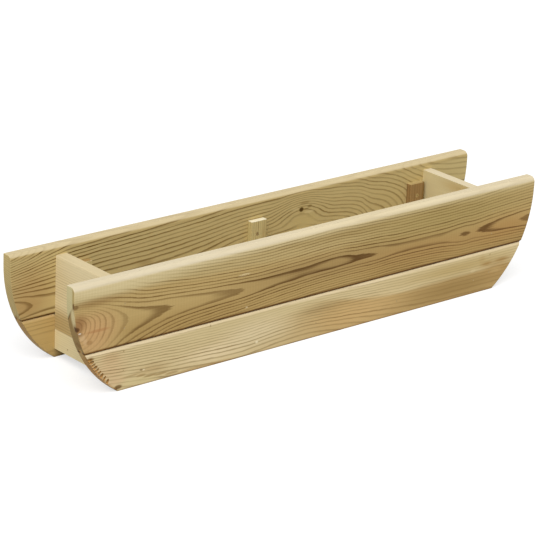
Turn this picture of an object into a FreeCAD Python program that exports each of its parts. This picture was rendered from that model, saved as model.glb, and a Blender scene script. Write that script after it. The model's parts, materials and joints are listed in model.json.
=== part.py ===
import FreeCAD, Part
import os

import Sketcher

# A long planting trough of pressure-treated pine: two side panels with curved ends, each of an upper and
# a lower tongued and grooved board, two end walls between them, battens that tie the boards, and a floor.
# X runs along the trough, the front faces -Y, Z is up, and the origin is on the ground at the centre.

doc = FreeCAD.newDocument("garden_trough")

# Driving dimensions in millimetres
SIZES = {
    "bed_length": 1000,  # over the ends of the side panels
    "bed_width": 190,  # over the outer faces of the side panels
    "side_height": 191,  # from the ground to the top of the side panels
    "board_thickness": 20,  # side boards
    "joint_height": 74.8,  # top of the lower side boards, beside the tongue
    "end_reach": 88,  # from the end of the top to the end of the bottom, and to the end wall's outer face
    "curve_start": 172,  # height at which the panel's end starts to curve in
    "edge_round": 9,  # rounded top edge on the face side of the side panels
    "joint_gap": 0.3,  # slit left between the side boards as they dried
    "joint_bevel": 2.2,  # depth of the V between the side boards, on the face side
    "upper_bevel": 2.7,  # height of the V on the upper board
    "lower_bevel": 5,  # height of the V on the lower board
    "tongue_thickness": 6,
    "tongue_height": 7,
    "tongue_clearance": 0.3,  # around the tongue in its groove
    "wall_thickness": 21,  # end-wall boards
    "wall_drop": 15,  # top of the end walls below the top of the side panels
    "wall_lift": 15,  # underside of the end walls and the floor above the ground
    "wall_joint_height": 50,  # where the upper end-wall board meets the lower one
    "wall_round": 3,  # eased outer top edge of the end walls
    "floor_thickness": 20,
    "drain_gap": 6,  # between the two floor boards
    "batten_width": 33,
    "batten_thickness": 10.5,
    "batten_drop": 33.5,  # top of the battens below the top of the side panels
    "left_batten_gap": 11,  # from the left end wall to its battens
    "right_batten_gap": 5,  # from the right end wall to its battens
    "middle_batten_shift": 3.3,  # middle battens off the trough's centre
    "screw_length": 25,
    "screw_shank": 3.5,
    "screw_head": 7,
    "screw_rim": 0.4,  # straight edge of the countersunk head
    "screw_head_height": 2.2,
    "screw_point": 5,
    "screw_recess": 4,  # cross recess, across its arms
    "screw_slot": 1,  # width of an arm
    "screw_recess_depth": 1.4,
    "screw_edge": 23,  # top screw below the top of its batten
    "screw_joint_offset": 22,  # the other screws above and below the board joint
    "nail_length": 50,
    "nail_shank": 1.8,
    "nail_head": 2.6,
    "nail_rim": 0.5,
    "nail_head_height": 1.1,
    "nail_point": 3,
    "nail_joint_offset": 30,  # nail above the board joint of the side panels
    "nail_top_offset": 30,  # top nail below the top of the end wall
    "floor_nail_inset": 26,  # outermost floor nails from the inner face of the end walls
    "fastener_clearance": 0.1,  # around screws and nails in their holes
}
FLOOR_NAILS_PER_SIDE = 5

sheet = doc.addObject("Spreadsheet::Sheet", "Sizes")
for row, (alias, size) in enumerate(SIZES.items(), start=1):
    sheet.set(f"A{row}", alias)
    sheet.set(f"B{row}", str(size))
    sheet.setAlias(f"B{row}", alias)
doc.recompute()

# Planes and heights that several pieces share, as expressions on the sheet
ZERO = "0"
HALF_LENGTH = "Sizes.bed_length / 2"
SIDE_OUTER = "Sizes.bed_width / 2"
SIDE_INNER = "(Sizes.bed_width / 2 - Sizes.board_thickness)"
INNER_WIDTH = "(Sizes.bed_width - 2 * Sizes.board_thickness)"
WALL_OUTER = "(Sizes.bed_length / 2 - Sizes.end_reach)"
WALL_MIDDLE = "(Sizes.bed_length / 2 - Sizes.end_reach - Sizes.wall_thickness / 2)"
WALL_INNER = "(Sizes.bed_length / 2 - Sizes.end_reach - Sizes.wall_thickness)"
SIDE_JOINT = "Sizes.joint_height"
SIDE_SHOULDER = "(Sizes.joint_height + Sizes.joint_gap)"
SIDE_TOP = "Sizes.side_height"
WALL_JOINT = "Sizes.wall_joint_height"
WALL_TOP = "(Sizes.side_height - Sizes.wall_drop)"
FLOOR_BOTTOM = "Sizes.wall_lift"
FLOOR_MIDDLE = "(Sizes.wall_lift + Sizes.floor_thickness / 2)"
FLOOR_TOP = "(Sizes.wall_lift + Sizes.floor_thickness)"
FLOOR_BOARD_WIDTH = "((Sizes.bed_width - Sizes.drain_gap) / 2 - Sizes.board_thickness)"
FLOOR_BOARD_MIDDLE = "((Sizes.bed_width + Sizes.drain_gap) / 4 - Sizes.board_thickness / 2)"
BATTEN_TOP = "(Sizes.side_height - Sizes.batten_drop)"
BATTEN_FACE = "(Sizes.bed_width / 2 - Sizes.board_thickness - Sizes.batten_thickness)"

# Turns that bring a fastener, which points along +Z, to the way it is driven
ACROSS = FreeCAD.Vector(1, 0, 0)
ALONG = FreeCAD.Vector(0, 1, 0)
UPRIGHT = FreeCAD.Vector(0, 0, 1)
TO_BACK = FreeCAD.Rotation(ACROSS, -90)
TO_FRONT = FreeCAD.Rotation(ACROSS, 90)
TO_RIGHT = FreeCAD.Rotation(ALONG, 90)
TO_LEFT = FreeCAD.Rotation(ALONG, -90)
HALF_TURN = FreeCAD.Rotation(UPRIGHT, 180)

# Constraint numbers of a sketch's own axes and origin
H_AXIS, V_AXIS = range(-1, -3, -1)
START_POINT, END_POINT, CENTRE_POINT = range(1, 4)
ORIGIN = (H_AXIS, START_POINT)

subparts = []


def value_of(expression):
    return float(sheet.evalExpression(expression))


def new_body(name):
    body = doc.addObject("PartDesign::Body", name)
    body.Label = name
    return body


def origin_plane(body, role):
    return next(feature for feature in body.Origin.OriginFeatures if feature.Role == role)


def dimension(sketch, point, expressions, name):
    # Holds one point of a sketch at the given distances from the sketch's origin.
    for kind, axis, expression in zip(("DistanceX", "DistanceY"), (V_AXIS, H_AXIS), expressions):
        if expression == ZERO:
            sketch.addConstraint(Sketcher.Constraint("PointOnObject", *point, axis))
        elif expression:
            constraint = Sketcher.Constraint(kind, *ORIGIN, *point, value_of(expression))
            index = sketch.addConstraint(constraint)
            sketch.renameConstraint(index, f"{name}_{kind}")
            sketch.setExpression(f"Constraints.{name}_{kind}", expression)


def closed_sketch(body, name, role, corners, arc_centres=None):
    # Closed outline on one of the body's planes. The side after a corner that has a centre is an arc.
    arc_centres = arc_centres or {}
    sketch = body.newObject("Sketcher::SketchObject", name)
    sketch.AttachmentSupport = (origin_plane(body, role), "")
    sketch.MapMode = "FlatFace"
    points = [FreeCAD.Vector(value_of(u), value_of(v), 0) for u, v in corners]
    sides = []
    for index, start in enumerate(points):
        stop = points[(index + 1) % len(points)]
        if index in arc_centres:
            centre = FreeCAD.Vector(*[value_of(expression) for expression in arc_centres[index]], 0)
            middle = centre + ((start + stop) / 2 - centre).normalize() * (start - centre).Length
            side = sketch.addGeometry(Part.Arc(start, middle, stop), False)
        else:
            side = sketch.addGeometry(Part.LineSegment(start, stop), False)
        ahead = sketch.getPoint(side, START_POINT).isEqual(start, Part.Precision.confusion())
        sides.append((side, START_POINT, END_POINT) if ahead else (side, END_POINT, START_POINT))
    for index, (side, first, last) in enumerate(sides):
        following, following_first, _ = sides[(index + 1) % len(sides)]
        sketch.addConstraint(Sketcher.Constraint("Coincident", side, last, following, following_first))
        dimension(sketch, (side, first), corners[index], f"corner{index}")
        if index in arc_centres:
            dimension(sketch, (side, CENTRE_POINT), (arc_centres[index][0], None), f"centre{index}")
    return sketch


def symmetric_pad(body, sketch, length):
    pad = body.newObject("PartDesign::Pad", f"{sketch.Name}_pad")
    pad.Profile = sketch
    pad.SideType = "Symmetric"
    pad.setExpression("Length", length)
    return pad


def drilled(label, blank, drills):
    # The finished piece: its blank with the holes of every fastener that passes through it.
    tool = doc.addObject("Part::Compound", f"{label}_drills")
    tool.Links = drills
    cut = doc.addObject("Part::Cut", label)
    cut.Label = label
    cut.Base = blank
    cut.Tool = tool
    subparts.append(cut)


def box(name, corner, lengths):
    block = doc.addObject("Part::Box", name)
    for axis, expression in zip("xyz", corner):
        block.setExpression(f"Placement.Base.{axis}", expression)
    for side, expression in zip(("Length", "Width", "Height"), lengths):
        block.setExpression(side, expression)
    return block


# Board sections


def tongue_sides(thickness, grow):
    near = f"(({thickness} - Sizes.tongue_thickness) / 2 - {grow})"
    far = f"(({thickness} + Sizes.tongue_thickness) / 2 + {grow})"
    return near, far


def upper_section(thickness, joint, top, edge_round, bevel):
    # Grooved underneath, with the face at zero and its top edge rounded.
    near, far = tongue_sides(thickness, "Sizes.tongue_clearance")
    groove_top = f"({joint} + Sizes.tongue_height + Sizes.tongue_clearance)"
    rounding = f"({top} - {edge_round})"
    corners = [(edge_round, top), (ZERO, rounding)]
    if bevel:
        depth, height = bevel
        corners += [(ZERO, f"({joint} + {height})"), (depth, joint)]
    else:
        corners += [(ZERO, joint)]
    corners += [(near, joint), (near, groove_top), (far, groove_top), (far, joint)]
    corners += [(thickness, joint), (thickness, top)]
    return corners, {0: (edge_round, rounding)}


def lower_section(thickness, bottom, joint, bevel):
    # Tongued on top, with the face at zero.
    near, far = tongue_sides(thickness, ZERO)
    tongue_top = f"({joint} + Sizes.tongue_height)"
    corners = [(ZERO, bottom), (thickness, bottom), (thickness, joint)]
    corners += [(far, joint), (far, tongue_top), (near, tongue_top), (near, joint)]
    if bevel:
        depth, height = bevel
        corners += [(depth, joint), (ZERO, f"({joint} - {height})")]
    else:
        corners += [(ZERO, joint)]
    return corners, {}


# Side boards: moulded stock, cut off beyond the panel's outline at both ends
END_RADIUS = "((Sizes.end_reach ^ 2 + Sizes.curve_start ^ 2) / (2 * Sizes.end_reach))"
END_CENTRE = (f"({HALF_LENGTH} - {END_RADIUS})", "Sizes.curve_start")
STOCK_LENGTH = "(Sizes.bed_length + Sizes.end_reach)"
ABOVE = "(Sizes.side_height + Sizes.curve_start)"
BELOW = "-Sizes.board_thickness"
BEYOND = "(Sizes.bed_length / 2 + Sizes.end_reach)"
END_WASTE = [
    (HALF_LENGTH, ABOVE),
    (HALF_LENGTH, "Sizes.curve_start"),
    (WALL_OUTER, ZERO),
    (WALL_OUTER, BELOW),
    (BEYOND, BELOW),
    (BEYOND, ABOVE),
]
CURVED_SIDE = 1


def side_blank(name, face_y, section):
    body = new_body(name)
    body.setExpression("Placement.Base.y", face_y)
    pad = symmetric_pad(body, closed_sketch(body, f"{name}_section", "YZ_Plane", *section), STOCK_LENGTH)
    waste = closed_sketch(body, f"{name}_waste", "XZ_Plane", END_WASTE, {CURVED_SIDE: END_CENTRE})
    end_cut = body.newObject("PartDesign::Pocket", f"{name}_end_cut")
    end_cut.Profile = waste
    end_cut.Type = "ThroughAll"
    end_cut.SideType = "Symmetric"
    other_end = body.newObject("PartDesign::Mirrored", f"{name}_other_end")
    other_end.Originals = [end_cut]
    other_end.MirrorPlane = (origin_plane(body, "YZ_Plane"), [""])
    body.Tip = other_end
    doc.recompute()
    if not pad.Shape.Volume > end_cut.Shape.Volume > other_end.Shape.Volume:
        raise RuntimeError(f"{name}: an end was not cut")
    return body


# End-wall boards: moulded stock between the side panels, with the outer face at zero


def wall_blank(name, end, section):
    body = new_body(name)
    if end == "right":
        body.Placement = FreeCAD.Placement(FreeCAD.Vector(), HALF_TURN)
    body.setExpression("Placement.Base.x", WALL_OUTER if end == "right" else f"-{WALL_OUTER}")
    symmetric_pad(body, closed_sketch(body, f"{name}_section", "XZ_Plane", *section), INNER_WIDTH)
    return body


# Screws and nails, turned about Z from the head down, and the drills that make room for them


def turned_body(name, corners):
    body = new_body(name)
    half = closed_sketch(body, f"{name}_half", "XZ_Plane", corners)
    turned = body.newObject("PartDesign::Revolution", f"{name}_turned")
    turned.Profile = half
    turned.ReferenceAxis = (half, ["V_Axis"])
    doc.recompute()
    return body


def fastener(kind):
    shank = f"Sizes.{kind}_shank / 2"
    head = f"Sizes.{kind}_head / 2"
    length = f"Sizes.{kind}_length"
    corners = [
        (ZERO, ZERO),
        (head, ZERO),
        (head, f"Sizes.{kind}_rim"),
        (shank, f"Sizes.{kind}_head_height"),
        (shank, f"({length} - Sizes.{kind}_point)"),
        (ZERO, length),
    ]
    return turned_body(kind, corners)


def drill(kind):
    shank = f"(Sizes.{kind}_shank / 2 + Sizes.fastener_clearance)"
    head = f"(Sizes.{kind}_head / 2 + Sizes.fastener_clearance)"
    end = f"(Sizes.{kind}_length + Sizes.fastener_clearance)"
    outside = f"-Sizes.{kind}_head"
    corners = [
        (ZERO, outside),
        (head, outside),
        (head, f"Sizes.{kind}_rim"),
        (shank, f"Sizes.{kind}_head_height"),
        (shank, end),
        (ZERO, end),
    ]
    return turned_body(f"{kind}_drill", corners)


def cut_recess(body):
    # Two slots across the head at right angles.
    arm = "Sizes.screw_recess / 2"
    slot = "Sizes.screw_slot / 2"
    for name, u, v in (("recess_across", arm, slot), ("recess_upright", slot, arm)):
        corners = [(f"-{u}", f"-{v}"), (u, f"-{v}"), (u, v), (f"-{u}", v)]
        outline = closed_sketch(body, f"{name}_outline", "XY_Plane", corners)
        before = body.Tip.Shape.Volume
        slot_cut = body.newObject("PartDesign::Pocket", name)
        slot_cut.Profile = outline
        slot_cut.Reversed = True
        slot_cut.setExpression("Length", "Sizes.screw_recess_depth")
        doc.recompute()
        if not slot_cut.Shape.Volume < before:
            raise RuntimeError(f"{name}: nothing was cut")


screw = fastener("screw")
cut_recess(screw)
screw_drill = drill("screw")
nail = fastener("nail")
nail_drill = drill("nail")

holes = {}


def place(base, name, spot, turn):
    link = doc.addObject("App::Link", name)
    link.LinkedObject = base
    link.Placement = FreeCAD.Placement(FreeCAD.Vector(), turn)
    for axis, expression in zip("xyz", spot):
        link.setExpression(f"Placement.Base.{axis}", expression)
    return link


def fasten(label, base, base_drill, spots, turn, pieces):
    # A group of like fasteners, whose drills are kept for the pieces that they pass through.
    group = doc.addObject("Part::Compound", label)
    group.Label = label
    group.Links = [place(base, f"{label}_{number}", spot, turn) for number, spot in enumerate(spots)]
    subparts.append(group)
    drills = [place(base_drill, f"{label}_{number}_drill", spot, turn) for number, spot in enumerate(spots)]
    for piece in pieces:
        holes.setdefault(piece, []).extend(drills)


# Pieces that are alike at the front and back or at the left and right end
SIDE_SIGNS = {"front": "-", "back": ""}
END_SIGNS = {"left": "-", "right": ""}
SIDE_FACES = {"front": f"-{SIDE_OUTER}", "back": SIDE_INNER}
INWARD = {"front": TO_BACK, "back": TO_FRONT, "left": TO_RIGHT, "right": TO_LEFT}
OUTWARD = {"front": TO_FRONT, "back": TO_BACK}
FLOOR_STARTS = {"front": f"-{SIDE_INNER}", "back": "Sizes.drain_gap / 2"}
BATTEN_BACKS = {"front": f"-{SIDE_INNER}", "back": BATTEN_FACE}
BATTEN_STARTS = {
    "left": f"(Sizes.left_batten_gap - {WALL_INNER})",
    "middle": "(Sizes.middle_batten_shift - Sizes.batten_width / 2)",
    "right": f"({WALL_INNER} - Sizes.right_batten_gap - Sizes.batten_width)",
}
SCREW_LINES = {
    "left": f"({BATTEN_STARTS['left']} + Sizes.batten_width / 2)",
    "middle": ZERO,
    "right": f"({BATTEN_STARTS['right']} + Sizes.batten_width / 2)",
}
SCREW_HEIGHTS = [
    f"({BATTEN_TOP} - Sizes.screw_edge)",
    f"({SIDE_JOINT} + Sizes.screw_joint_offset)",
    f"({SIDE_JOINT} - Sizes.screw_joint_offset)",
]
WALL_NAIL_HEIGHTS = [
    f"({WALL_TOP} - Sizes.nail_top_offset)",
    f"({SIDE_JOINT} + Sizes.nail_joint_offset)",
    f"(({WALL_JOINT} + Sizes.tongue_height + {SIDE_JOINT}) / 2)",
    f"(({FLOOR_BOTTOM} + {WALL_JOINT}) / 2)",
]


def floor_nail_line(number):
    share = f"(2 * {number} / {FLOOR_NAILS_PER_SIDE - 1} - 1)"
    return f"{share} * ({WALL_INNER} - Sizes.floor_nail_inset)"


SIDE_BOARD = "Sizes.board_thickness"
WALL_BOARD = "Sizes.wall_thickness"
UPPER_BEVEL = ("Sizes.joint_bevel", "Sizes.upper_bevel")
LOWER_BEVEL = ("Sizes.joint_bevel", "Sizes.lower_bevel")
SIDE_UPPER = upper_section(SIDE_BOARD, SIDE_SHOULDER, SIDE_TOP, "Sizes.edge_round", UPPER_BEVEL)
SIDE_LOWER = lower_section(SIDE_BOARD, ZERO, SIDE_JOINT, LOWER_BEVEL)
WALL_UPPER = upper_section(WALL_BOARD, WALL_JOINT, WALL_TOP, "Sizes.wall_round", None)
WALL_LOWER = lower_section(WALL_BOARD, FLOOR_BOTTOM, WALL_JOINT, None)

blanks = {}
for side, sign in SIDE_SIGNS.items():
    upper = f"{side}_upper_board"
    lower = f"{side}_lower_board"
    floor = f"{side}_floor_board"
    blanks[upper] = side_blank(f"{side}_upper_blank", SIDE_FACES[side], SIDE_UPPER)
    blanks[lower] = side_blank(f"{side}_lower_blank", SIDE_FACES[side], SIDE_LOWER)
    blanks[floor] = box(
        f"{side}_floor_blank",
        (f"-{WALL_INNER}", FLOOR_STARTS[side], FLOOR_BOTTOM),
        (f"2 * {WALL_INNER}", FLOOR_BOARD_WIDTH, "Sizes.floor_thickness"),
    )
    floor_lines = [floor_nail_line(number) for number in range(FLOOR_NAILS_PER_SIDE)]
    floor_spots = [(line, f"{sign}{SIDE_OUTER}", FLOOR_MIDDLE) for line in floor_lines]
    fasten(f"{side}_floor_nails", nail, nail_drill, floor_spots, INWARD[side], [lower, floor])
    for position, start in BATTEN_STARTS.items():
        batten = f"{side}_{position}_batten"
        blanks[batten] = box(
            f"{batten}_blank",
            (start, BATTEN_BACKS[side], FLOOR_TOP),
            ("Sizes.batten_width", "Sizes.batten_thickness", f"{BATTEN_TOP} - {FLOOR_TOP}"),
        )
        screw_spots = [(SCREW_LINES[position], f"{sign}{BATTEN_FACE}", height) for height in SCREW_HEIGHTS]
        fasten(f"{batten}_screws", screw, screw_drill, screw_spots, OUTWARD[side], [batten, upper, lower])

for end, sign in END_SIGNS.items():
    upper = f"{end}_wall_upper_board"
    lower = f"{end}_wall_lower_board"
    blanks[upper] = wall_blank(f"{end}_wall_upper_blank", end, WALL_UPPER)
    blanks[lower] = wall_blank(f"{end}_wall_lower_blank", end, WALL_LOWER)
    for side, side_sign in SIDE_SIGNS.items():
        wall_spots = [
            (f"{sign}{WALL_MIDDLE}", f"{side_sign}{SIDE_OUTER}", height) for height in WALL_NAIL_HEIGHTS
        ]
        pierced = [upper, lower, f"{side}_upper_board", f"{side}_lower_board"]
        fasten(f"{side}_{end}_wall_nails", nail, nail_drill, wall_spots, INWARD[side], pierced)
    end_spots = [
        (f"{sign}{WALL_OUTER}", f"{side_sign}{FLOOR_BOARD_MIDDLE}", FLOOR_MIDDLE)
        for side_sign in SIDE_SIGNS.values()
    ]
    pierced = [lower, "front_floor_board", "back_floor_board"]
    fasten(f"{end}_floor_nails", nail, nail_drill, end_spots, INWARD[end], pierced)

for label, blank in blanks.items():
    drilled(label, blank, holes[label])

doc.recompute()
for thing in doc.Objects:
    if "Invalid" in thing.State or "Error" in thing.State:
        raise RuntimeError(f"{thing.Label} failed: {thing.State}")
for piece in subparts:
    if piece.Shape.isNull() or not piece.Shape.isValid():
        raise RuntimeError(f"{piece.Label} has no valid shape")
    if piece.Label in blanks and len(piece.Shape.Solids) != 1:
        raise RuntimeError(f"{piece.Label} is not one solid")

os.makedirs("parts", exist_ok=True)
for piece in subparts:
    piece.Shape.exportStep(f"parts/{piece.Label}.step")
    print(piece.Label, len(piece.Shape.Solids), round(piece.Shape.Volume))
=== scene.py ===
# %% [markdown]
# # A planting trough of pressure-treated pine
# The real trough is sixteen boards and battens, held by screws and slim nails. Its solids come from the
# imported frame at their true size, and this lesson gives them what a photograph shows of such a trough:
# softened arrises, growth rings that run through each board as they run through a log, knots, stains,
# zinc and light. Every length below is in millimetres unless its name says otherwise, and Blender's own
# unit is the metre.

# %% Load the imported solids
import json
import math

import bmesh
import bpy
from mathutils import Color, Matrix, Vector


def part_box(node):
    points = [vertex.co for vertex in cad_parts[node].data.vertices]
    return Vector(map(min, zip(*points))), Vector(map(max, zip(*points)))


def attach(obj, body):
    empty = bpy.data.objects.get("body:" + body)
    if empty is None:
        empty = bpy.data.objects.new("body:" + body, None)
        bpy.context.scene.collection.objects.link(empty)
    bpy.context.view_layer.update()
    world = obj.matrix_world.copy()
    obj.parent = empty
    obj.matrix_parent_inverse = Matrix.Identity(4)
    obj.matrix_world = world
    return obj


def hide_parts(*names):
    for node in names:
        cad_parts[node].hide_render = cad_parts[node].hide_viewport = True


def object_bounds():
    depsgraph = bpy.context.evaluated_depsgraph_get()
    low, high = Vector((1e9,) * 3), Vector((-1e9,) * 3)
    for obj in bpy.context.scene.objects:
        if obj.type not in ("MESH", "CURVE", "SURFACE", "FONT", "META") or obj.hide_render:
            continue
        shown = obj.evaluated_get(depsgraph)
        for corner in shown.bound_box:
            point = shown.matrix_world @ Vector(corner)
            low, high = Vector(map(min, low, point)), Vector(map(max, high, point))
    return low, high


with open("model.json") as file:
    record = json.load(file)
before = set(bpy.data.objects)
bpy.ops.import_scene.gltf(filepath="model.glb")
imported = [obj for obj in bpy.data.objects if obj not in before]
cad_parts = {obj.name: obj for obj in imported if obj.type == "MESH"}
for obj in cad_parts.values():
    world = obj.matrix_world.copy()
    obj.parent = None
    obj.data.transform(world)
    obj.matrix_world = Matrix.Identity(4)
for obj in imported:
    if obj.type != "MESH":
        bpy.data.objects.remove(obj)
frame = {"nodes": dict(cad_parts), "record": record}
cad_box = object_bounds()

MM = 0.001
print("solids:", len(frame["nodes"]), "box:", [tuple(round(c, 4) for c in corner) for corner in cad_box])

# %% [markdown]
# ## The camera
# The photograph looks down on the trough from its front left corner through a long lens, so parallel
# boards stay almost parallel. A camera could be aimed with a Track To constraint, but a slight roll has
# to be kept as well, so the three directions of the camera are worked out from its angles and written
# into its matrix.

# %% Camera
AZIMUTH_DEG = -40.95
ELEVATION_DEG = 20.37
ROLL_DEG = 2.68
DISTANCE = 4460.2
TARGET = Vector((-28.18, -4.8, 96.68))
FRAME_PX = 540
FOCAL_PX = 2666.36
SENSOR = 36.0


def camera_matrix():
    azimuth, elevation, roll = (math.radians(angle) for angle in (AZIMUTH_DEG, ELEVATION_DEG, ROLL_DEG))
    sideways = math.cos(elevation)
    back = Vector((math.sin(azimuth) * sideways, -math.cos(azimuth) * sideways, math.sin(elevation)))
    right = Vector((math.cos(azimuth), math.sin(azimuth), 0.0))
    up = back.cross(right)
    rolled_right = right * math.cos(roll) + up * math.sin(roll)
    rolled_up = up * math.cos(roll) - right * math.sin(roll)
    matrix = Matrix((rolled_right, rolled_up, back)).transposed().to_4x4()
    matrix.translation = (TARGET + back * DISTANCE) * MM
    return matrix


camera = bpy.data.objects.new("camera", bpy.data.cameras.new("camera"))
camera.data.sensor_width = SENSOR
camera.data.lens = FOCAL_PX * SENSOR / FRAME_PX
camera.matrix_world = camera_matrix()
bpy.context.scene.collection.objects.link(camera)
bpy.context.scene.camera = camera
bpy.context.scene.view_settings.view_transform = "Standard"
print("lens:", round(camera.data.lens, 1), "mm")

# %% [markdown]
# ## Shader maths as Python
# Wood needs a fair amount of arithmetic, and a tree of hand-placed Math nodes is hard to read. The
# class below wraps one socket. Adding, multiplying or comparing two of them adds the Math node that
# does it, so that a formula for growth rings can be written as a formula. A Mix node has sockets for
# numbers, vectors and colours side by side, so the sockets of its colours are named by number.


# %% The Signal class
MIX_SHARE = 0
MIX_COLOURS = (6, 7)
MIXED_COLOUR = 2


def set_points(curve_node, points):
    curve = curve_node.mapping.curves[0]
    while len(curve.points) < len(points):
        curve.points.new(1.0, 1.0)
    for point, place in zip(curve.points, points):
        point.location = place
    curve_node.mapping.update()


class Signal:
    """A socket of a node tree that takes part in Python arithmetic."""

    def __init__(self, tree, socket=None):
        self.tree = tree
        self.socket = socket

    def node(self, kind, settings=None, inputs=None, output=0):
        made = self.tree.nodes.new(kind)
        for name, value in (settings or {}).items():
            if name == "points":
                set_points(made, value)
            else:
                setattr(made, name, value)
        for key, value in (inputs or {}).items():
            if isinstance(value, Signal):
                self.tree.links.new(value.socket, made.inputs[key])
            else:
                made.inputs[key].default_value = value
        return Signal(self.tree, made.outputs[output] if made.outputs else None)

    def maths(self, operation, *values):
        return self.node("ShaderNodeMath", {"operation": operation}, dict(enumerate(values)))

    def __add__(self, other):
        return self.maths("ADD", self, other)

    def __sub__(self, other):
        return self.maths("SUBTRACT", self, other)

    def __rsub__(self, other):
        return self.maths("SUBTRACT", other, self)

    def __mul__(self, other):
        return self.maths("MULTIPLY", self, other)

    def __truediv__(self, other):
        return self.maths("DIVIDE", self, other)

    __radd__ = __add__
    __rmul__ = __mul__

    def root(self):
        return self.maths("SQRT", self)

    def size(self):
        return self.maths("ABSOLUTE", self)

    def whole(self):
        return self.maths("FLOOR", self)

    def ripple(self):
        return self.maths("SINE", self)

    def larger(self, other):
        return self.maths("MAXIMUM", self, other)

    def rise(self, low, high):
        """0 below low, 1 above high and a smooth slope between them."""
        span = {"Value": self, "From Min": low, "From Max": high}
        return self.node("ShaderNodeMapRange", {"interpolation_type": "SMOOTHSTEP"}, span)

    def blend(self, at_zero, at_one, way="MIX"):
        """The colour at_zero where this signal is 0, with at_one mixed or multiplied in where it is 1."""
        settings = {"data_type": "RGBA", "blend_type": way}
        colours = dict(zip(MIX_COLOURS, (at_zero, at_one)))
        return self.node("ShaderNodeMix", settings, {MIX_SHARE: self, **colours}, MIXED_COLOUR)


print("signals are ready")

# %% Colours and materials
PAINT_FULL = 255


def tint(red, green, blue):
    """A colour written as in a paint program, turned into the linear values that shaders use."""
    paint = Color([channel / PAINT_FULL for channel in (red, green, blue)])
    return (*paint.from_srgb_to_scene_linear(), 1.0)


def new_material(name):
    material = bpy.data.materials.new(name)
    material.use_nodes = True
    material.node_tree.nodes.clear()
    return material, Signal(material.node_tree)


def finish_surface(start, surface):
    """Joins a shader to the output of its tree."""
    start.node("ShaderNodeOutputMaterial", None, {"Surface": surface})


def set_material(piece, material):
    piece.data.materials.clear()
    piece.data.materials.append(material)


print("colours and materials are ready")

# %% [markdown]
# ## Studio
# The trough stands on a white floor in soft light. One wide lamp above the front left corner makes the
# tops of the boards bright and leaves their undersides in shade. A sun lamp with a large angle is used,
# because its light doesn't fade across a wide floor as that of an area lamp does. The world adds an
# even light. The floor gives a little glow of its own to the camera and to reflections, so that it
# reads as white, yet keeps the soft shadow.

# %% Floor
FLOOR_SIZE_M = 40.0
FLOOR_GREYS = (tint(168, 168, 168), tint(172, 172, 172))
FLOOR_MOTTLE_SCALE = 3.0
FLOOR_GLOW = 0.64
RAYS_THAT_LOOK = ("Is Camera Ray", "Is Glossy Ray", "Is Transmission Ray")


def looked_at(start):
    """1 for the rays of the camera and of reflections, and 0 for the rays that carry light."""
    kinds = [start.node("ShaderNodeLightPath", None, None, kind) for kind in RAYS_THAT_LOOK]
    return kinds[0].larger(kinds[1]).larger(kinds[2])


def floor_paint():
    material, start = new_material("studio_floor")
    place = start.node("ShaderNodeTexCoord", None, None, "Object")
    mottle = start.node("ShaderNodeTexNoise", None, {"Vector": place, "Scale": FLOOR_MOTTLE_SCALE})
    grey = mottle.blend(*FLOOR_GREYS)
    matt = start.node("ShaderNodeBsdfDiffuse", None, {"Color": grey})
    glow = start.node("ShaderNodeEmission", None, {"Strength": FLOOR_GLOW})
    both = start.node("ShaderNodeAddShader", None, {0: matt, 1: glow})
    mixed = start.node("ShaderNodeMixShader", None, {0: looked_at(start), 1: matt, 2: both})
    finish_surface(start, mixed)
    return material


half = FLOOR_SIZE_M / 2
floor_mesh = bpy.data.meshes.new("studio_floor")
corners = [(-half, -half, 0.0), (half, -half, 0.0), (half, half, 0.0), (-half, half, 0.0)]
floor_mesh.from_pydata(corners, [], [(0, 1, 2, 3)])
floor = bpy.data.objects.new("studio_floor", floor_mesh)
bpy.context.scene.collection.objects.link(floor)
set_material(floor, floor_paint())
print("floor:", FLOOR_SIZE_M, "m wide")

# %% Lamp and world
WHITE = (1.0, 1.0, 1.0, 1.0)
WHITE_LEVEL = 1.0
WORLD_LEVEL = 0.5
LAMP_FROM = Vector((-0.40, -0.43, 0.81))
LAMP_STRENGTH = 2.7
LAMP_ANGLE_DEG = 50.0

lamp = bpy.data.lights.new("wide_lamp", "SUN")
lamp.energy = LAMP_STRENGTH
lamp.angle = math.radians(LAMP_ANGLE_DEG)
holder = bpy.data.objects.new("wide_lamp", lamp)
holder.rotation_euler = (-LAMP_FROM).to_track_quat("-Z", "Y").to_euler()
bpy.context.scene.collection.objects.link(holder)

world = bpy.data.worlds.new("studio")
world.use_nodes = True
world.node_tree.nodes.clear()
sky = Signal(world.node_tree)
soft_light = sky.node("ShaderNodeBackground", None, {"Color": WHITE, "Strength": WORLD_LEVEL})
white_wall = sky.node("ShaderNodeBackground", None, {"Color": WHITE, "Strength": WHITE_LEVEL})
mixed = sky.node("ShaderNodeMixShader", None, {0: looked_at(sky), 1: soft_light, 2: white_wall})
sky.node("ShaderNodeOutputWorld", None, {"Surface": mixed})
bpy.context.scene.world = world
print("lamp:", LAMP_STRENGTH, "world:", WORLD_LEVEL)

# %% [markdown]
# ## Boards with softened arrises
# A planed board never has a knife edge: its arrises are eased by a fraction of a millimetre, and that
# thin rounded line catches the light. A Bevel modifier could do it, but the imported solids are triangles
# that share no corners. So each board is a copy whose corners are welded, whose flat faces are joined
# again, and whose outer arrises are bevelled with bmesh. Edges of nail holes are short and stay sharp.

# %% Arrises
WELD = 0.01
FLAT_DEG = 1.0
ARRIS_DEG = 25.0
SHARP_DEG = 40.0
SHORTEST_ARRIS = 0.9
WIDE_FACE_M2 = 0.005
ARRIS_STEPS = 3
ROUND_PROFILE = 0.5
BOARD_EASING = 0.8
BATTEN_EASING = 0.5


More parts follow.
